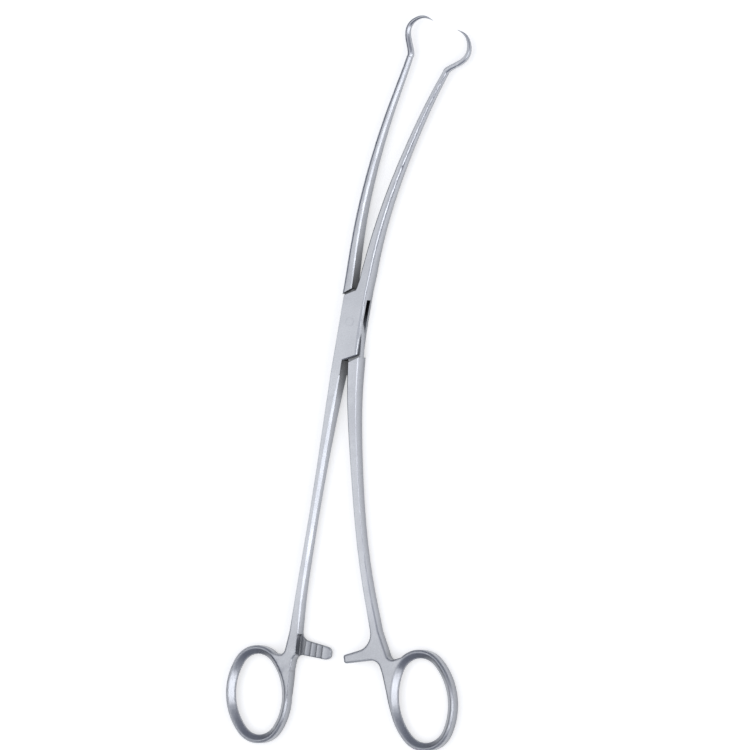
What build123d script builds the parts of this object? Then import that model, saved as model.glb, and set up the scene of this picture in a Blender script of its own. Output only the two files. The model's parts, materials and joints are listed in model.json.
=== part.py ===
"""Long tenaculum forceps, curved to one side, with a box lock.

Two forged halves cross in the box lock. Each has a hooked jaw, a shank, a ratchet arm and a
finger ring. The box half carries the cheeks and the slot, the tang half passes through the slot
on a thin tang, and a pin ground flush with the cheeks joins them.

Millimetres. The instrument lies on its back: +Z is up out of the ring plane, +Y runs along the
instrument from the rings to the jaws, +X is to the right seen from above. The pin stands on
x = y = 0 and the back cheek lies on z = 0. The halves are modelled part open.
"""

from math import atan2, cos, degrees, pi, radians, sin
import os

from build123d import *

# Box lock
box_thickness = 6.5
cheek_thickness = 1.8
tang_play = 0.05
pin_diameter = 3.2
pin_play = 0.04
box_edge_radius = 1.2
mid_height = box_thickness / 2
slot_height = box_thickness - 2 * cheek_thickness
tang_thickness = slot_height - 2 * tang_play

# Jaws
jaw_root_width = 4.1
jaw_neck_width = 2.1
jaw_neck_depth = 3.0
jaw_inner_bevel = 0.35
jaw_round = 2.0
jaw_outer_flat = 0.8
neck_inner_bevel = 0.7
neck_round = 1.1
jaw_taper = 0.85
jaw_stations = 9

# Hooks, measured in the direction of the jaw at its neck
hook_tip_size = 0.16
hook_side_step = 0.7
hook_slimming = 0.15
hook_flattening = 0.12
hook_stations = 9
hook_route = [
    (0.0, 0.0),
    (2.3, -0.6),
    (4.3, -1.8),
    (6.4, -3.2),
    (8.7, -4.1),
    (11.0, -4.2),
    (13.2, -3.3),
    (15.1, -1.7),
    (16.2, 0.4),
    (16.6, 2.7),
    (16.3, 4.8),
]

# Shanks
shank_end_width = 3.2
handle_depth = 4.8
shank_waist = 0.7
shank_taper = 1.6
shank_edge_bevel = 0.45
shank_ground_bevel = 1.1
shank_ridge_bevel = 0.2
handle_bevel = 0.5
shank_stations = 9

# Finger rings
ring_width = 3.2
ring_crest = 0.7
ring_outer_bevel = 0.8
ring_inner_flat = 2.6
ring_inner_swell = (-0.75, 2.08)
flat_overhang = 0.15
left_ring = {
    "centre": (-35.2, -143.0), "half_length": 17.1, "half_breadth": 11.9, "end_radius": 9.2, "lean": 4,
}
right_ring = {
    "centre": (35.7, -142.6), "half_length": 17.8, "half_breadth": 12.3, "end_radius": 9.9, "lean": 10.5,
}

# Ratchet, its teeth radial to the pin
ratchet_radius = 126.0
tooth_pitch = 2.49
tooth_height = 0.8
tooth_scoop = 0.22
tooth_lead = 0.15
tooth_count = 4
first_box_tooth = 4.0
first_tang_tooth = 2.45
tip_ramp = 4.6
ratchet_play = 0.1
pitch_angle = degrees(tooth_pitch / ratchet_radius)

sketch_plane = Plane.XY.offset(mid_height)
handle_floor = Plane.XY.offset(mid_height - handle_depth / 2)


def bar_section(line, place, side, size, bevel, rounding):
    """One cross-section of a bar, square to its line, with its round edge on the given side.

    size is width and depth. bevel is that of the two inner edges, and rounding is how far the two
    outer edges are rounded, across the width and down the depth.
    """
    direction = line % place
    across = Vector(0, 0, 1).cross(direction).normalized() * side
    half, rise = size[0] / 2, size[1] / 2
    far, drop = half - rounding[0], rise - rounding[1]
    with BuildSketch(Plane(line @ place, x_dir=across, z_dir=direction)) as section:
        with BuildLine():
            Polyline((far, -rise), (bevel - half, -rise), (-half, bevel - rise), (-half, rise - bevel))
            Polyline((-half, rise - bevel), (bevel - half, rise), (far, rise))
            EllipticalCenterArc((far, drop), *rounding, start_angle=0, arc_size=90)
            Line((half, drop), (half, -drop))
            EllipticalCenterArc((far, -drop), *rounding, start_angle=270, arc_size=90)
        make_face()
    return section.sketch


def jaw_sections(jaw, side):
    """Sections from the root of a jaw to its neck, half round on the outer side."""
    sections = []
    for step in range(jaw_stations):
        t = step / (jaw_stations - 1)
        width = jaw_root_width + (jaw_neck_width - jaw_root_width) * t**jaw_taper
        depth = box_thickness + (jaw_neck_depth - box_thickness) * t
        bevel = neck_inner_bevel + (jaw_inner_bevel - neck_inner_bevel) * (1 - t) ** 3
        swell = 1 - (1 - t) ** 4
        across = neck_round + (jaw_round - neck_round) * (1 - t)
        across = box_edge_radius + (across - box_edge_radius) * swell
        down = box_edge_radius + ((depth - jaw_outer_flat) / 2 - box_edge_radius) * swell
        sections.append(bar_section(jaw, t, side, (width, depth), bevel, (across, down)))
    return sections


def hook_sections(neck, hook, side):
    """Sections from the neck of a jaw, its last section, to the point of the hook."""
    sections = [neck]
    flat = jaw_outer_flat / jaw_neck_depth
    for step in range(1, hook_stations):
        t = step / (hook_stations - 1)
        slimming = (1 - hook_slimming * t) * (1 - t**3)
        width = hook_tip_size + (jaw_neck_width - hook_tip_size) * slimming
        depth = hook_tip_size + (jaw_neck_depth - hook_tip_size) * slimming * (1 - hook_flattening * t)
        share = width / jaw_neck_width
        rounding = (neck_round * share, depth * (1 - flat) / 2)
        sections.append(bar_section(hook, t, side, (width, depth), neck_inner_bevel * share, rounding))
    return sections


def shank_sections(shank, side, root_width, inner_bevel, outer_bevel):
    """Sections of a shank, slimmer half-way, from the box lock to the top of its handle."""
    sections = []
    for step in range(shank_stations):
        t = step / (shank_stations - 1)
        middle, root = sin(pi * t), (1 - t) ** shank_taper
        width = shank_end_width + (root_width - shank_end_width) * root - shank_waist * middle
        depth = handle_depth + (box_thickness - handle_depth) * root - shank_waist * middle
        ends = shank_edge_bevel + (handle_bevel - shank_edge_bevel) * t
        inner = ends + (inner_bevel - ends) * middle**0.7
        outer = ends + (outer_bevel - ends) * middle**0.7
        direction = shank % t
        across = Vector(0, 0, 1).cross(direction).normalized() * side
        with BuildSketch(Plane(shank @ t, x_dir=across, z_dir=direction)) as section:
            Rectangle(width, depth)
            chamfer(section.vertices().group_by(Axis.X)[0], inner)
            chamfer(section.vertices().group_by(Axis.X)[-1], outer)
        sections.append(section.sketch)
    return sections


def heading_vector(angle):
    """Direction in the ring plane, its angle taken from +Y towards +X."""
    return Vector(sin(radians(angle)), cos(radians(angle)), 0)


def hook_points(neck, heading, inward, side_step):
    """Points of a hook's centreline, from the neck of a jaw that points along the heading."""
    along = heading_vector(heading)
    across = Vector(along.Y, -along.X, 0) * inward
    points = []
    for reach, bow in hook_route:
        rise = side_step * (reach / hook_route[-1][0]) ** 2
        points.append(tuple(Vector(*neck, rise) + along * reach + across * bow))
    return points


def ring_arcs(ring):
    """The four arcs of a ring's oval, each as centre, radius, first angle and sweep."""
    lean, end_radius = ring["lean"], ring["end_radius"]
    end_shift = ring["half_length"] - end_radius
    spare = ring["half_breadth"] - end_radius
    side_radius = end_radius + (end_shift**2 + spare**2) / (2 * spare)
    side_shift = side_radius - ring["half_breadth"]
    turn = degrees(atan2(end_shift, side_shift))
    arcs = []
    for shift, radius, first, sweep in (
        ((-side_shift, 0), side_radius, -turn, 2 * turn),
        ((0, end_shift), end_radius, turn, 180 - 2 * turn),
        ((side_shift, 0), side_radius, 180 - turn, 2 * turn),
        ((0, -end_shift), end_radius, 180 + turn, 180 - 2 * turn),
    ):
        middle = Vector(*ring["centre"]) + Vector(*shift).rotate(Axis.Z, lean)
        arcs.append((middle, radius, first + lean, sweep))
    return arcs


def ring_band(ring):
    """A finger ring, crested near its outer side, its long axis leaning from +Y towards -X."""
    half_band, half_depth = ring_width / 2, handle_depth / 2
    inner_flat = ring_inner_flat / 2
    with BuildPart() as band:
        for middle, radius, first, sweep in ring_arcs(ring):
            outward = Vector(cos(radians(first)), sin(radians(first)), 0)
            origin = middle + outward * radius + Vector(0, 0, mid_height)
            with BuildSketch(Plane(origin, x_dir=outward, z_dir=outward.cross(Vector(0, 0, 1)))):
                with BuildLine() as half:
                    Polyline(
                        (half_band, 0), (half_band, half_depth - ring_outer_bevel),
                        (half_band - ring_outer_bevel, half_depth), (ring_crest, half_depth),
                    )
                    ThreePointArc((ring_crest, half_depth), ring_inner_swell, (-half_band, inner_flat))
                    Line((-half_band, inner_flat), (-half_band, 0))
                    mirror(half.line, about=Plane.XZ)
                make_face()
            revolve(axis=Axis(middle, (0, 0, 1)), revolution_arc=sweep)
    return band.part


def inside_ring(ring):
    """The area of a ring inside the edge where the flat of the handle ends."""
    with BuildSketch() as area:
        with BuildLine():
            for middle, radius, first, sweep in ring_arcs(ring):
                CenterArc(middle, radius + ring_crest - flat_overhang, first, sweep)
        make_face()
    return area.sketch


def handle_web(outline, corners, radii, notch_end, flat_edge, ring):
    """The root of a handle: the bevelled web of shank and arm, and its flat along the ring."""
    with BuildPart() as web:
        with BuildSketch(handle_floor) as flat:
            with BuildLine():
                Polyline(*outline, close=True)
            make_face()
            for corner, radius in zip(corners, radii):
                fillet(flat.vertices().sort_by_distance(corner)[0], radius)
        extrude(amount=handle_depth)
        for rim in (web.edges().group_by(Axis.Z)[0], web.edges().group_by(Axis.Z)[-1]):
            chamfer(rim.sort_by(Axis.Y)[:-1], handle_bevel)
        with BuildSketch(handle_floor):
            with BuildLine():
                edge = Spline(*flat_edge)
                Polyline(edge @ 1, ring["centre"], notch_end, edge @ 0)
            make_face()
        extrude(amount=handle_depth)
        with BuildSketch(handle_floor):
            add(inside_ring(ring))
        extrude(amount=handle_depth, mode=Mode.SUBTRACT)
    return web.part


def ratchet_point(side, angle, radius):
    """Point of the ratchet at an angle from -Y, towards the given side."""
    return (side * radius * sin(radians(angle)), -radius * cos(radians(angle)))


def ratchet_gullets(side, first_angle):
    """Profiles cut between the teeth of an arm, across the arc that the teeth follow."""
    crest = -ratchet_play / 2
    gullets = []
    for tooth in range(tooth_count):
        angle = first_angle + tooth * pitch_angle
        reach = tooth_pitch if tooth else tip_ramp
        outward = Vector(side * sin(radians(angle)), -cos(radians(angle)), 0)
        to_tip = Vector(-side * cos(radians(angle)), -sin(radians(angle)), 0)
        origin = outward * ratchet_radius + Vector(0, 0, mid_height)
        with BuildSketch(Plane(origin, x_dir=to_tip, z_dir=outward)) as gullet:
            valley = (reach - tooth_lead, crest - tooth_height)
            with BuildLine():
                SagittaArc((0, crest), valley, tooth_scoop)
                Polyline(valley, (reach, crest), (reach, 1), (0, 1), (0, crest))
            make_face()
        gullets.append(gullet.sketch)
    return gullets


# Centrelines of the box half, its jaw to the right and its shank to the left
with BuildLine(sketch_plane) as right_jaw:
    Spline(
        (6.3, 19.0), (12.95, 43.75), (21.75, 66.8), (30.35, 85.3), (35.9, 95.5),
        tangents=(heading_vector(12), heading_vector(30)),
    )
with BuildLine(sketch_plane) as right_hook:
    Spline(*hook_points((35.9, 95.5), 30, -1, -hook_side_step))
with BuildLine(sketch_plane) as left_shank:
    Spline(
        (-5.6, -20.0), (-10.5, -51.3), (-15.3, -83.4), (-18.8, -108.0),
        tangents=(heading_vector(189.6), heading_vector(187)),
    )

# Centrelines of the tang half, its jaw to the left and its shank to the right
with BuildLine(sketch_plane) as left_jaw:
    Spline(
        (-2.3, 8.0), (0.8, 34.35), (5.6, 57.4), (12.6, 80.35), (20.3, 101.4),
        tangents=(heading_vector(7), heading_vector(19)),
    )
with BuildLine(sketch_plane) as left_hook:
    Spline(*hook_points((20.3, 101.4), 19, 1, hook_side_step))
with BuildLine(sketch_plane) as right_shank:
    Spline(
        (1.9, -10.0), (1.7, -29.6), (3.1, -50.9), (6.1, -77.4), (12.3, -108.0),
        tangents=(heading_vector(181), heading_vector(165)),
    )

# Box half: cheeks with the slot between them, right jaw, left shank, arm and ring
with BuildPart() as box_half:
    with BuildSketch():
        with BuildLine():
            ThreePointArc((8.31, 18.57), (4.95, 0.5), (3.4, -12.6))
            Polyline(
                (3.4, -12.6), (-2.8, -14.7), (-3.58, -20.34), (-7.62, -19.66), (-3.1, 9.95), (1.31, 11.67),
            )
            Spline(
                (1.31, 11.67), (2.05, 12.4), (2.8, 14.2), (4.29, 19.43),
                tangents=((1, 0.8, 0), (0.21, 1, 0)),
            )
            Line((4.29, 19.43), (8.31, 18.57))
        make_face()
    extrude(amount=box_thickness)
    long_rims = box_half.edges().filter_by(Plane.XY).filter_by(lambda rim: rim.length > 20)
    fillet(long_rims.group_by(Axis.X)[-1], box_edge_radius)
    chamfer(long_rims.group_by(Axis.X)[0], shank_edge_bevel)
    chamfer(box_half.edges().filter_by(GeomType.BSPLINE), jaw_inner_bevel)
    with BuildSketch(Plane.XY.offset(cheek_thickness)):
        with BuildLine():
            Polyline(
                (1.2, 13.6), (8.4, 6.2), (14, 6.2), (14, -18), (-2.2, -18),
                (-2.85, -14.75), (-6.8, -9.0), (-14, -9.0), (-14, 13.6), close=True,
            )
        make_face()
    extrude(amount=slot_height, mode=Mode.SUBTRACT)
    jaw = jaw_sections(right_jaw.line, -1)
    loft(jaw)
    loft(hook_sections(jaw[-1], right_hook.line, -1))
    loft(shank_sections(left_shank.line, -1, 4.1, shank_ground_bevel, shank_edge_bevel))
    add(
        handle_web(
            [
                (-20.39, -107.8), (-22.0, -118.7), (-24.2, -127.8), (-30.5, -126.75), (-30.5, -134.0),
                (-21.0, -133.5), (-19.7, -127.0), (-5.1, -129.0), (-5.1, -124.2), (-18.1, -121.2),
                (-17.21, -108.2),
            ],
            [(-24.2, -127.8), (-19.7, -127.0), (-5.1, -129.0), (-5.1, -124.2), (-18.1, -121.2)],
            [2.5, 2.8, 2.1, 2.1, 3.3],
            (-30.5, -126.75),
            [(-20.9, -129.6), (-21.2, -134.2), (-21.6, -139.4), (-22.6, -146), (-25.2, -153)],
            left_ring,
        )
    )
    with BuildSketch(sketch_plane.offset(-ratchet_play / 2)):
        with BuildLine():
            Polyline((-18.4, -119.8), (-2, -119.8), (-2, -134), (-19.5, -134), close=True)
        make_face()
    extrude(amount=handle_depth, mode=Mode.SUBTRACT)
    for gullet in ratchet_gullets(-1, first_box_tooth):
        extrude(gullet, amount=8, both=True, mode=Mode.SUBTRACT)
    last_angle = first_box_tooth + (tooth_count - 1) * pitch_angle
    with BuildSketch(sketch_plane.offset(-ratchet_play / 2 - tooth_height)):
        with BuildLine():
            Polyline(
                (-18.4, -119.8), ratchet_point(-1, last_angle, 119), ratchet_point(-1, last_angle, 134),
                (-19.5, -134), close=True,
            )
        make_face()
    extrude(amount=handle_depth, mode=Mode.SUBTRACT)
    add(ring_band(left_ring))
    Hole(pin_diameter / 2)

# Tang half: tang with a shoulder at each end, left jaw, right shank, arm and ring
with BuildPart() as tang_half:
    jaw = jaw_sections(left_jaw.line, 1)
    loft(jaw)
    loft(shank_sections(right_shank.line, 1, 4.9, shank_edge_bevel, shank_ridge_bevel))
    with BuildSketch():
        with BuildLine():
            Polyline((-9, 7.77), (6, 15.87), (9, -11.05), (-6, -18.43), close=True)
        make_face()
    extrude(amount=box_thickness, mode=Mode.SUBTRACT)
    loft(hook_sections(jaw[-1], left_hook.line, 1))
    with BuildSketch(Plane.XY.offset(cheek_thickness + tang_play)):
        with BuildLine():
            Polyline((-3.3, 15.5), (0.1, 15.5), (0.1, 12.4))
            Spline((0.1, 12.4), (3.2, 5.0), (4.3, -3.0), (4.25, -13.4))
            Polyline((4.25, -13.4), (4.0, -19), (-0.3, -19), (-0.6, -15.5))
            Spline((-0.6, -15.5), (-2.3, -9.0), (-3.5, 1.0), (-3.5, 11.1))
            Line((-3.5, 11.1), (-3.3, 15.5))
        make_face()
    extrude(amount=tang_thickness)
    add(
        handle_web(
            [
                (13.85, -107.59), (16.4, -117.0), (21.2, -128.2), (28.5, -126.0), (28.5, -134.5),
                (18.6, -133.3), (16.4, -127.9), (2.2, -129.9), (1.6, -126.7), (14.0, -122.9),
                (10.75, -108.41),
            ],
            [(21.2, -128.2), (16.4, -127.9), (2.2, -129.9), (1.6, -126.7), (14.0, -122.9)],
            [2.5, 4.0, 1.0, 1.0, 6.5],
            (28.5, -126.0),
            [(18.0, -130.2), (19.3, -134.6), (20.6, -139.2), (22.5, -146), (27.8, -154.6)],
            right_ring,
        )
    )
    with BuildSketch(handle_floor):
        with BuildLine():
            Polyline((14.2, -120.5), (0, -120.5), (0, -134), (17.5, -134), close=True)
        make_face()
    extrude(amount=handle_depth / 2 + ratchet_play / 2, mode=Mode.SUBTRACT)
    for gullet in ratchet_gullets(1, first_tang_tooth):
        extrude(gullet, amount=8, both=True, mode=Mode.SUBTRACT)
    last_angle = first_tang_tooth + (tooth_count - 1) * pitch_angle
    with BuildSketch(handle_floor):
        with BuildLine():
            Polyline(
                (14.2, -120.5), ratchet_point(1, last_angle, 119), ratchet_point(1, last_angle, 134),
                (17.5, -134), close=True,
            )
        make_face()
    extrude(amount=handle_depth / 2 + ratchet_play / 2 + tooth_height, mode=Mode.SUBTRACT)
    add(ring_band(right_ring))
    Hole(pin_diameter / 2 + pin_play)

# Pin, ground flush with both cheeks
with BuildPart() as pivot_pin:
    with BuildSketch():
        Circle(pin_diameter / 2)
    extrude(amount=box_thickness)

os.makedirs("parts", exist_ok=True)
for solid, name in ((box_half, "box_half"), (tang_half, "tang_half"), (pivot_pin, "pivot_pin")):
    solid.part.label = name
    export_step(solid.part, f"parts/{name}.step")
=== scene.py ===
"""Tenaculum forceps in satin steel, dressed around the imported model."""

import json
from math import cos, hypot, pi, radians, sin

import bmesh
import bpy
from bpy.props import FloatProperty, FloatVectorProperty, PointerProperty
from bpy.types import Operator, Panel, PropertyGroup
from mathutils import Matrix, Vector


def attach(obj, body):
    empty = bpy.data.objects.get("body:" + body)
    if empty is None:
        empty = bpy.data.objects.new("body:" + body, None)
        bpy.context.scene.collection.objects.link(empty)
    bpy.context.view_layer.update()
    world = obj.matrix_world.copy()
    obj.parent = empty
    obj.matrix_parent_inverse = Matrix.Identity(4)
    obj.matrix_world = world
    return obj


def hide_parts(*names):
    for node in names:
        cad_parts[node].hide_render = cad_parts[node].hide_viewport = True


bl_info = {
    "name": "Tenaculum Forceps",
    "version": (1, 0, 0),
    "blender": (4, 5, 0),
    "location": "3D View > Sidebar > Forceps",
    "description": "Builds a tenaculum forceps in satin steel with its stage",
    "category": "Add Mesh",
}

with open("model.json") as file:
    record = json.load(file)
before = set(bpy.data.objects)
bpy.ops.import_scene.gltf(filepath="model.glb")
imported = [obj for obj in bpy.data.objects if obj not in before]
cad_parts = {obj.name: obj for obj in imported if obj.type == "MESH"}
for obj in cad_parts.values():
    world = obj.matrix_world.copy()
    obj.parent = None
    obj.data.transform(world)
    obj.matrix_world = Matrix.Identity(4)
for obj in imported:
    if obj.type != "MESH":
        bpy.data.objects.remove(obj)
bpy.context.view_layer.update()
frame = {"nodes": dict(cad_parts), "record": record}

# Lengths are in metres, the pin stands on the Z axis and the hooks point towards +Y
MID_HEIGHT = 0.00325
HALVES_AND_PIN = ("box_half", "tang_half", "pivot_pin")
MERGE_DISTANCE = 2e-6
CUT_TOLERANCE = 1e-7

# The finger rings as the solids have them: centre, half length, half breadth, end radius and lean
RINGS = {
    "box_half": ((-0.0352, -0.1430), 0.0171, 0.0119, 0.0092, 4),
    "tang_half": ((0.0357, -0.1426), 0.0178, 0.0123, 0.0099, 10.5),
}
# A ring's band: how far in it reaches from its middle line, with a margin for the points of its
# inner edge, and its half height where the slope starts
BAND_INSIDE = 0.0016
BAND_MARGIN = 1e-4
BAND_TOP = 0.0024

# The groove across the right jaw's root: a point on it, the way across it, and what is cut out
GROOVE_POINT = Vector((0.00429, 0.01943, 0))
GROOVE_ACROSS = Vector((0.86, 4.02, 0)).normalized()
GROOVE_LOW, GROOVE_HIGH = -0.0006, 0.0002

# The round along the cheeks' right edge: where it lies, how far from the jaw it fades out, and,
# from the mid plane, the least height that is looked at, its foot and its own height
CHEEK_ROUND_LEFT = -0.001
CHEEK_ROUND_BACK, CHEEK_ROUND_FRONT = -0.0145, 0.0115
CHEEK_ROUND_FADE = 0.003
ROUND_TEST, ROUND_FOOT, ROUND_HEIGHT = 0.00204, 0.00205, 0.0012

# Along Y, where the handles, which are painted darker as shade and have softer edges, turn into the
# shanks
HANDLE_BLEND = (-0.126, -0.108)
# The part of a noise texture's range in which nearly all of it lies
NOISE_CORE = (0.3, 0.7)
# How far the patches go below and above the roughness
SMOOTHER, ROUGHER = 0.04, 0.05
# Samples for the painted crevice shade and for the softened edges
CREVICE_SHADE_SAMPLES, EDGE_SAMPLES = 8, 6
# The polishing lines run along the instrument
LINE_STRETCH = (1, 0.3, 1)

# The sky's light by height, by distance to either end and from side to side, each as the
# level that it starts at, the level that it heads for, and the stops that it steps to
SKY_BY_HEIGHT = (0.2, 1, ((0.35, 0.35), (0.8, 1)))
SKY_BY_LENGTH = (1, 0.55, ((0.3, 0.9), (0.6, 0.65)))
SKY_BY_SIDE = (0.3, 0.4, ((0.13, 0.5), (0.26, 1), (0.6, 0.75)))
SKY_STRENGTH = 1.25
FLOOR_HALF_WIDTH = 4
FLOOR_GLOW = 0.52

# The photograph's side and the place of the pin in it, in pixels
PHOTO_SIDE = 750
PIN_COLUMN, PIN_ROW = 353.5, 322
# The camera's sensor, in millimetres
SENSOR_WIDTH = 36


class ForcepsSteel(PropertyGroup):
    """Shape and finish of the steel."""

    colour: FloatVectorProperty(
        name="Steel colour", description="Colour of the bare steel",
        default=(0.48, 0.495, 0.53), subtype="COLOR", size=3, min=0, max=1,
    )
    roughness: FloatProperty(
        name="Roughness", description="How matt the satin finish is",
        default=0.3, min=0, max=1, subtype="FACTOR",
    )
    # Painted shade: how far from a crevice, gap or the floor the ambient occlusion darkens the
    # steel
    crevice_shade_reach: FloatProperty(
        name="Crevice reach", description="How far from a crevice the steel looks darker",
        default=0.0052, unit="LENGTH", precision=5,
    )
    edge_softness: FloatProperty(
        name="Edge softness", description="Radius to which polishing has rounded the edges",
        default=0.0001, unit="LENGTH", precision=5,
    )
    handle_softness: FloatProperty(
        name="Handle softness", description="Radius to which the handles' edges have been rounded",
        default=0.001, unit="LENGTH", precision=5,
    )
    grain_depth: FloatProperty(
        name="Grain depth", description="How much the satin grain lightens and darkens the steel",
        default=0.07, min=0, max=1, subtype="FACTOR",
    )
    waviness: FloatProperty(
        name="Waviness", description="Depth of the slow waves that hand grinding leaves",
        default=0.00012, unit="LENGTH", precision=5,
    )
    # Painted shade: the handles are darkened to this share of the shanks' brightness, standing in
    # for the shade on them
    painted_handle_shade: FloatProperty(
        name="Handle shade", description="How bright the blasted handles are, by the ground steel",
        default=0.84, min=0, max=1, subtype="FACTOR",
    )
    cheek_crown: FloatProperty(
        name="Cheek crown", description="How far the cheeks fall towards their right edge",
        default=0.0005, unit="LENGTH", precision=5,
    )
    slope_start: FloatProperty(
        name="Ring slope start", description="How far out from the band's middle the slope starts",
        default=0.0005, unit="LENGTH", precision=5,
    )
    slope_reach: FloatProperty(
        name="Ring slope reach", description="How far in from the band's middle the slope ends",
        default=0.0017, unit="LENGTH", precision=5,
    )
    slope_end: FloatProperty(
        name="Ring slope end", description="Half height that is left at the ring's inner edge",
        default=0.0004, unit="LENGTH", precision=5,
    )
    smooth_angle: FloatProperty(
        name="Smooth angle", description="Edges that turn by less than this are shaded round",
        default=radians(24), subtype="ANGLE",
    )


class ForcepsStage(PropertyGroup):
    """Camera and floor."""

    floor_colour: FloatVectorProperty(
        name="Floor colour", description="Colour of the plain floor",
        default=(0.75, 0.75, 0.75), subtype="COLOR", size=3, min=0, max=1,
    )
    side_turn: FloatProperty(
        name="Side turn", description="How far the camera stands to the right of straight above",
        default=radians(28), subtype="ANGLE",
    )
    roll: FloatProperty(
        name="Roll", description="How far the picture leans clockwise",
        default=radians(2), subtype="ANGLE",
    )
    distance: FloatProperty(
        name="Distance", description="From the camera to the instrument",
        default=6, unit="LENGTH",
    )
    frame_width: FloatProperty(
        name="Frame width", description="Width that the picture shows at the instrument",
        default=0.28517, unit="LENGTH",
    )


def new_material(name):
    """An empty node material and its output."""
    material = bpy.data.materials.new(name)
    material.use_nodes = True
    material.node_tree.nodes.clear()
    output = material.node_tree.nodes.new("ShaderNodeOutputMaterial")
    return material, output


def noise(tree, vector, scale, detail):
    """A noise texture over a vector."""
    texture = tree.nodes.new("ShaderNodeTexNoise")
    texture.inputs["Scale"].default_value = scale
    texture.inputs["Detail"].default_value = detail
    tree.links.new(vector, texture.inputs["Vector"])
    return texture.outputs["Fac"]


def rescale(tree, value, source, target, interpolation="LINEAR"):
    """A value taken from one range to another and held at the ends."""
    node = tree.nodes.new("ShaderNodeMapRange")
    node.interpolation_type = interpolation
    for name, level in zip(("From Min", "From Max", "To Min", "To Max"), (*source, *target)):
        node.inputs[name].default_value = level
    tree.links.new(value, node.inputs["Value"])
    return node.outputs["Result"]


def multiply(tree, first, second):
    """The product of two colours."""
    node = tree.nodes.new("ShaderNodeMix")
    node.data_type, node.blend_type = "RGBA", "MULTIPLY"
    node.inputs["Factor"].default_value = 1
    tree.links.new(first, node.inputs["A"])
    tree.links.new(second, node.inputs["B"])
    return node.outputs["Result"]


def relief(tree, height, normal, strength, distance):
    """A bump by a height, on top of the normals given."""
    node = tree.nodes.new("ShaderNodeBump")
    node.inputs["Strength"].default_value = strength
    node.inputs["Distance"].default_value = distance
    tree.links.new(height, node.inputs["Height"])
    tree.links.new(normal, node.inputs["Normal"])
    return node.outputs["Normal"]


def split_axes(tree, vector):
    """The three coordinates of a vector."""
    node = tree.nodes.new("ShaderNodeSeparateXYZ")
    tree.links.new(vector, node.inputs["Vector"])
    return node.outputs


def steel_colour_and_painted_shade(tree, place, along, settings):
    """Steel with painted shade, darker in each crevice and gap, on walls near the floor and on the
    handles, with a fine grain.
    """
    # Painted shade: ambient occlusion darkens the steel in each crevice and gap and on walls near
    # the floor
    crevice_shade = tree.nodes.new("ShaderNodeAmbientOcclusion")
    crevice_shade.samples = CREVICE_SHADE_SAMPLES
    crevice_shade.inputs["Color"].default_value = (*settings.colour, 1)
    crevice_shade.inputs["Distance"].default_value = settings.crevice_shade_reach
    # Painted shade: the handles are darker than the shanks
    shade = rescale(tree, along, HANDLE_BLEND, (settings.painted_handle_shade, 1), "SMOOTHSTEP")
    grain = noise(tree, place, scale=2000, detail=3)
    depth = settings.grain_depth
    speckle = rescale(tree, grain, NOISE_CORE, (1 - depth, 1 + depth))
    return multiply(tree, multiply(tree, crevice_shade.outputs["Color"], shade), speckle)


def steel_normal(tree, place, along, settings):
    """Softened edges, the slow waves of the ground faces and faint polishing lines."""
    softness = (settings.handle_softness, settings.edge_softness)
    edges = tree.nodes.new("ShaderNodeBevel")
    edges.samples = EDGE_SAMPLES
    radius = rescale(tree, along, HANDLE_BLEND, softness, "SMOOTHSTEP")
    tree.links.new(radius, edges.inputs["Radius"])
    waves = noise(tree, place, scale=110, detail=1)
    swell = relief(tree, waves, edges.outputs["Normal"], strength=1, distance=settings.waviness)
    stretch = tree.nodes.new("ShaderNodeMapping")
    stretch.inputs["Scale"].default_value = LINE_STRETCH
    tree.links.new(place, stretch.inputs["Vector"])
    lines = noise(tree, stretch.outputs["Vector"], scale=2600, detail=4)
    return relief(tree, lines, swell, strength=0.05, distance=0.00007)


def satin_steel(settings):
    """Satin steel: fine grain, faint polishing lines along the instrument, soft patches, and
    painted shade in each crevice and on the handles.
    """
    material, output = new_material("satin_steel")
    tree = material.node_tree
    place = tree.nodes.new("ShaderNodeTexCoord").outputs["Object"]
    along = split_axes(tree, place)["Y"]
    patches = noise(tree, place, scale=90, detail=4)
    gloss = (settings.roughness - SMOOTHER, settings.roughness + ROUGHER)
    finish = {
        "Base Color": steel_colour_and_painted_shade(tree, place, along, settings),
        "Roughness": rescale(tree, patches, NOISE_CORE, gloss),
        "Normal": steel_normal(tree, place, along, settings),
    }
    shader = tree.nodes.new("ShaderNodeBsdfPrincipled")
    shader.inputs["Metallic"].default_value = 1
    for name, source in finish.items():
        tree.links.new(source, shader.inputs[name])
    tree.links.new(shader.outputs["BSDF"], output.inputs["Surface"])
    return material


def ring_offset(ring, point):
    """How far a point lies outside the middle line of a ring's band, seen from above."""
    (x, y), half_length, half_breadth, end_radius, lean = ring
    end_shift = half_length - end_radius
    spare = half_breadth - end_radius
    side_radius = end_radius + (end_shift**2 + spare**2) / (2 * spare)
    side_shift = side_radius - half_breadth
    turn = radians(lean)
    across = abs((point.x - x) * cos(turn) + (point.y - y) * sin(turn))
    along = abs((point.y - y) * cos(turn) - (point.x - x) * sin(turn))
    if along * side_shift < (across + side_shift) * end_shift:
        return hypot(across + side_shift, along) - side_radius
    return hypot(across, along - end_shift) - end_radius


def slope_ring(shape, ring, settings):
    """Turn the inner side of a ring's band into two straight slopes that meet at its inner edge."""
    centre = Vector((*ring[0], MID_HEIGHT))
    start = settings.slope_start
    for vert in shape.verts:
        offset = ring_offset(ring, vert.co)
        if not -BAND_INSIDE - BAND_MARGIN < offset < start:
            continue
        share = (start - offset) / (start + BAND_INSIDE)
        reach = start - share * (start + settings.slope_reach)
        inward = centre - vert.co
        inward.z = 0
        vert.co += inward.normalized() * (offset - reach)
        level = BAND_TOP - share * (BAND_TOP - settings.slope_end)
        vert.co.z = MID_HEIGHT + (level if vert.co.z > MID_HEIGHT else -level)


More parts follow.
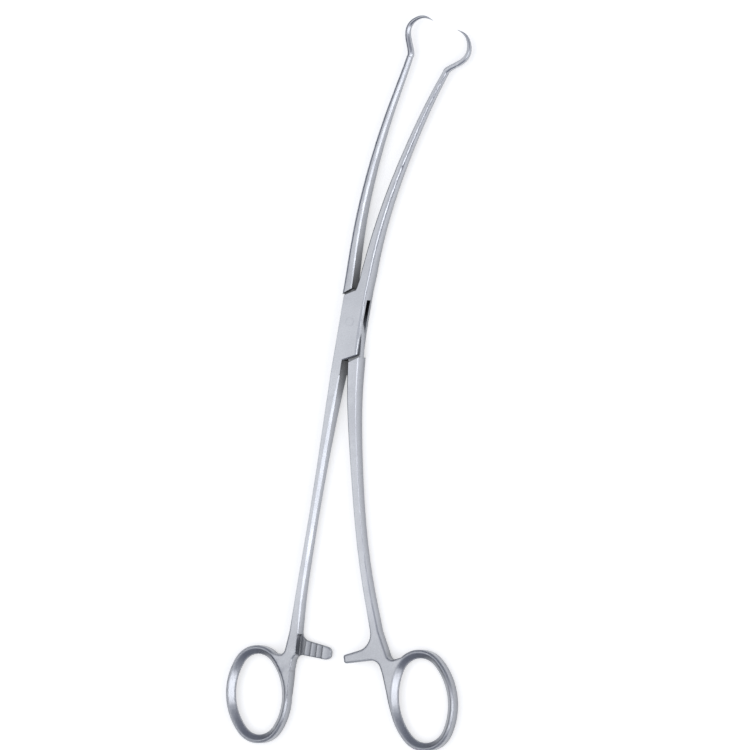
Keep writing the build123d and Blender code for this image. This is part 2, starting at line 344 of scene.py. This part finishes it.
def crown_cheeks(shape, crown):
    """Turn the round along the cheeks' right edge into a low crown that ends in a crisp edge."""
    for vert in shape.verts:
        rise = vert.co.z - MID_HEIGHT
        beside = vert.co.x >= CHEEK_ROUND_LEFT
        between = CHEEK_ROUND_BACK < vert.co.y < CHEEK_ROUND_FRONT
        if not (beside and between and abs(rise) >= ROUND_TEST):
            continue
        share = min(1, (CHEEK_ROUND_FRONT - vert.co.y) / CHEEK_ROUND_FADE)
        part = (abs(rise) - ROUND_FOOT) / ROUND_HEIGHT
        level = MID_HEIGHT - crown * (1 - part**2)
        level = level * share + abs(rise) * (1 - share)
        vert.co.z = MID_HEIGHT + (level if rise > 0 else -level)


def close_jaw_groove(shape):
    """Replace the groove across the right jaw's root by faces that run through."""
    for shift in (GROOVE_LOW, GROOVE_HIGH):
        bmesh.ops.bisect_plane(
            shape, geom=shape.verts[:] + shape.edges[:] + shape.faces[:], dist=CUT_TOLERANCE,
            plane_co=GROOVE_POINT + GROOVE_ACROSS * shift, plane_no=GROOVE_ACROSS,
        )
    groove = [
        face for face in shape.faces
        if GROOVE_LOW < (face.calc_center_median() - GROOVE_POINT).dot(GROOVE_ACROSS) < GROOVE_HIGH
    ]
    bmesh.ops.delete(shape, geom=groove, context="FACES")
    rims = [edge for edge in shape.edges if edge.is_boundary]
    bridge = bmesh.ops.bridge_loops(shape, edges=rims)["faces"]
    bmesh.ops.triangulate(shape, faces=bridge)
    bmesh.ops.dissolve_degenerate(shape, dist=CUT_TOLERANCE, edges=shape.edges)


def dress(node, material, settings):
    """A smooth-shaded copy of a CAD node, which it replaces."""
    mesh = frame["nodes"][node].data.copy()
    mesh.name = f"{node}_finish"
    shape = bmesh.new()
    shape.from_mesh(mesh)
    bmesh.ops.remove_doubles(shape, verts=shape.verts, dist=MERGE_DISTANCE)
    if node in RINGS:
        slope_ring(shape, RINGS[node], settings)
    if node == "box_half":
        crown_cheeks(shape, settings.cheek_crown)
        close_jaw_groove(shape)
    shape.normal_update()
    for face in shape.faces:
        face.smooth = True
    for edge in shape.edges:
        joined = len(edge.link_faces) == 2
        edge.smooth = joined and edge.calc_face_angle() < settings.smooth_angle
    shape.to_mesh(mesh)
    shape.free()
    mesh.materials.clear()
    mesh.materials.append(material)
    piece = bpy.data.objects.new(f"{node}_finish", mesh)
    bpy.context.scene.collection.objects.link(piece)
    even = piece.modifiers.new("even_normals", "WEIGHTED_NORMAL")
    even.keep_sharp = True
    return piece


def ride_on_body_of(piece, node):
    """The piece takes the node's place on its body."""
    bodies = frame["record"]["behaviour"]["bodies"]
    body = next(name for name, members in bodies.items() if node in members)
    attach(piece, body)
    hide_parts(node)


class FORCEPS_OT_halves(Operator):
    """Dress the two halves and the pin in satin steel"""

    bl_idname = "forceps.halves"
    bl_label = "Halves and pin"

    def execute(self, context):
        settings = context.scene.forceps_steel
        steel = satin_steel(settings)
        for node in HALVES_AND_PIN:
            piece = dress(node, steel, settings)
            ride_on_body_of(piece, node)
        return {"FINISHED"}


def cool_grey(level):
    """A grey of that level with a faint blue cast, as a colour."""
    return Vector((level**1.05, level, level**0.85, 1))


def grey_ramp(tree, value, start, aim, stops):
    """A ramp of greys over a value, from 0 to 1.

    It runs straight from the start level towards the aim, which lies at 1. At the first stop it
    steps to that stop's level, goes on from stop to stop, and keeps the last one's level.
    """
    node = tree.nodes.new("ShaderNodeValToRGB")
    marks = node.color_ramp.elements
    marks.remove(marks[-1])
    marks[0].position, marks[0].color = 0, cool_grey(start)
    step = stops[0][0]
    marks.new(step).color = cool_grey(start).lerp(cool_grey(aim), step)
    for position, level in stops:
        marks.new(position).color = cool_grey(level)
    tree.links.new(value, node.inputs["Fac"])
    return node.outputs["Color"]


def studio_sky(world):
    """Pale light from above that falls off towards the horizon, the ends and the sides."""
    world.use_nodes = True
    tree = world.node_tree
    axes = split_axes(tree, tree.nodes.new("ShaderNodeTexCoord").outputs["Generated"])
    ends = tree.nodes.new("ShaderNodeMath")
    ends.operation = "ABSOLUTE"
    tree.links.new(axes["Y"], ends.inputs[0])
    side = rescale(tree, axes["X"], (-1, 1), (0, 1))
    light = grey_ramp(tree, axes["Z"], *SKY_BY_HEIGHT)
    light = multiply(tree, light, grey_ramp(tree, ends.outputs["Value"], *SKY_BY_LENGTH))
    light = multiply(tree, light, grey_ramp(tree, side, *SKY_BY_SIDE))
    background = tree.nodes["Background"]
    background.inputs["Strength"].default_value = SKY_STRENGTH
    tree.links.new(light, background.inputs["Color"])


def soft_box(name, brightness, azimuth, elevation, distance, width, height):
    """A soft rectangular lamp that faces the box lock, its azimuth taken from +X towards +Y."""
    lamp = bpy.data.lights.new(name, "AREA")
    lamp.shape, lamp.size, lamp.size_y = "RECTANGLE", width, height
    lamp.energy = brightness * pi * width * height
    box = bpy.data.objects.new(name, lamp)
    turn, rise = radians(azimuth), radians(elevation)
    away = Vector((cos(rise) * cos(turn), cos(rise) * sin(turn), sin(rise)))
    box.location = away * distance
    box.rotation_euler = away.to_track_quat("Z", "Y").to_euler()
    bpy.context.scene.collection.objects.link(box)


def floor_material(colour):
    """A plain floor, white for the camera, metal and glass, with the instrument's shadow on it."""
    material, output = new_material("plain_floor")
    tree = material.node_tree
    make, join = tree.nodes.new, tree.links.new
    plain = make("ShaderNodeBsdfDiffuse")
    plain.inputs["Color"].default_value = (*colour, 1)
    glow = make("ShaderNodeEmission")
    glow.inputs["Strength"].default_value = FLOOR_GLOW
    lifted = make("ShaderNodeAddShader")
    join(plain.outputs["BSDF"], lifted.inputs[0])
    join(glow.outputs["Emission"], lifted.inputs[1])
    rays = make("ShaderNodeLightPath").outputs
    seen = rays["Is Camera Ray"]
    for ray in ("Is Glossy Ray", "Is Transmission Ray"):
        either = make("ShaderNodeMath")
        either.operation = "MAXIMUM"
        join(seen, either.inputs[0])
        join(rays[ray], either.inputs[1])
        seen = either.outputs["Value"]
    mix = make("ShaderNodeMixShader")
    join(seen, mix.inputs["Fac"])
    join(plain.outputs["BSDF"], mix.inputs[1])
    join(lifted.outputs["Shader"], mix.inputs[2])
    join(mix.outputs["Shader"], output.inputs["Surface"])
    return material


def lay_floor(colour):
    """A large plain sheet under the instrument."""
    shape = bmesh.new()
    bmesh.ops.create_grid(shape, x_segments=1, y_segments=1, size=FLOOR_HALF_WIDTH)
    mesh = bpy.data.meshes.new("floor")
    shape.to_mesh(mesh)
    shape.free()
    mesh.materials.append(floor_material(colour))
    floor = bpy.data.objects.new("floor", mesh)
    bpy.context.scene.collection.objects.link(floor)
    return floor


def place_camera(settings):
    """The photograph's view, with the pin at its place in the picture."""
    turn, roll = settings.side_turn, settings.roll
    back = Vector((sin(turn), 0, cos(turn)))
    flat_right, flat_up = Vector((cos(turn), 0, -sin(turn))), Vector((0, 1, 0))
    right = flat_right * cos(roll) + flat_up * sin(roll)
    up = -flat_right * sin(roll) + flat_up * cos(roll)
    pixel = settings.frame_width / PHOTO_SIDE
    centre = Vector((0, 0, MID_HEIGHT))
    centre += right * (PHOTO_SIDE / 2 - PIN_COLUMN) * pixel
    centre -= up * (PHOTO_SIDE / 2 - PIN_ROW) * pixel
    lens = bpy.data.cameras.new("camera")
    lens.sensor_width = SENSOR_WIDTH
    lens.lens = SENSOR_WIDTH * settings.distance / settings.frame_width
    lens.clip_end = settings.distance * 3
    camera = bpy.data.objects.new("camera", lens)
    turned = Matrix((right, up, back)).transposed().to_4x4()
    camera.matrix_world = Matrix.Translation(centre + back * settings.distance) @ turned
    bpy.context.scene.collection.objects.link(camera)
    return camera


class FORCEPS_OT_stage(Operator):
    """Lay the floor, hang the lamps and place the camera"""

    bl_idname = "forceps.stage"
    bl_label = "Stage"

    def execute(self, context):
        scene, settings = context.scene, context.scene.forceps_stage
        floor = lay_floor(settings.floor_colour)
        scene.world = bpy.data.worlds.new("studio")
        studio_sky(scene.world)
        soft_box(
            "right_box", brightness=2.5, azimuth=-15, elevation=36,
            distance=1.2, width=0.85, height=0.5,
        )
        soft_box(
            "left_box", brightness=0.4, azimuth=215, elevation=58,
            distance=1.2, width=0.7, height=0.7,
        )
        scene.camera = place_camera(settings)
        scene.view_settings.view_transform = "Standard"
        return {"FINISHED"}


class FORCEPS_PT_panel(Panel):
    """Buttons that build the forceps"""

    bl_idname = "FORCEPS_PT_panel"
    bl_label = "Forceps"
    bl_space_type = "VIEW_3D"
    bl_region_type = "UI"
    bl_category = "Forceps"

    def draw(self, context):
        for operator in OPERATORS:
            self.layout.operator(operator.bl_idname)
        for group in ("forceps_steel", "forceps_stage"):
            settings = getattr(context.scene, group)
            for name in settings.bl_rna.properties.keys():
                if name not in ("rna_type", "name"):
                    self.layout.prop(settings, name)


OPERATORS = (FORCEPS_OT_halves, FORCEPS_OT_stage)
CLASSES = (ForcepsSteel, ForcepsStage, *OPERATORS, FORCEPS_PT_panel)


def register():
    for item in CLASSES:
        bpy.utils.register_class(item)
    bpy.types.Scene.forceps_steel = PointerProperty(type=ForcepsSteel)
    bpy.types.Scene.forceps_stage = PointerProperty(type=ForcepsStage)


def unregister():
    del bpy.types.Scene.forceps_stage
    del bpy.types.Scene.forceps_steel
    for item in reversed(CLASSES):
        bpy.utils.unregister_class(item)


def main():
    register()
    bpy.ops.forceps.halves()
    bpy.ops.forceps.stage()


if __name__ == "__main__":
    main()
